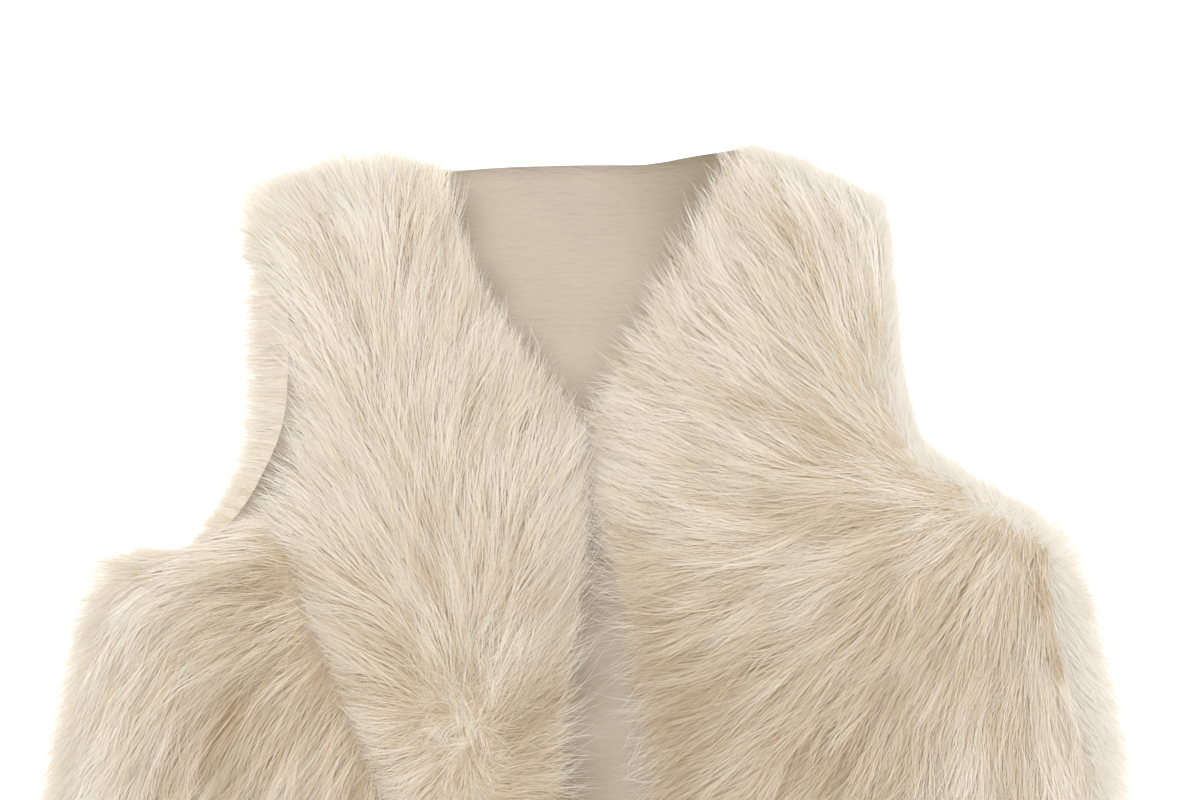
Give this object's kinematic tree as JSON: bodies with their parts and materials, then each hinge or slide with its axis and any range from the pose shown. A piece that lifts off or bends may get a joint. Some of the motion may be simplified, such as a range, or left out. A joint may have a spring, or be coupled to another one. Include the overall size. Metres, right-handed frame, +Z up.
{
  "type": "shearling gilet",
  "caption": "Open-fronted sleeveless gilet of long-haired shearling, hair outside and smooth leather inside, laid flat with its fronts on its back.",
  "frame": {"origin": "on the surface that the garment lies on, in the middle of its outline", "axes": "+Z up off the surface, +Y towards the neck, +X towards the wearer's left"},
  "size_m": [0.6884, 0.6314, 0.0488],
  "materials": {
    "nappa_leather": "smooth, fine-grained, semi-matt beige nappa",
    "sheep_hair": "long silky cream sheep hair"
  },
  "bodies": {
    "root": {"back_skin": "nappa_leather", "front_L_skin": "nappa_leather", "front_R_skin": "nappa_leather", "side_R_skin": "nappa_leather", "back_fur": "sheep_hair", "front_L_fur": "sheep_hair", "front_R_fur": "sheep_hair", "side_R_fur": "sheep_hair"}
  },
  "joints": []
}
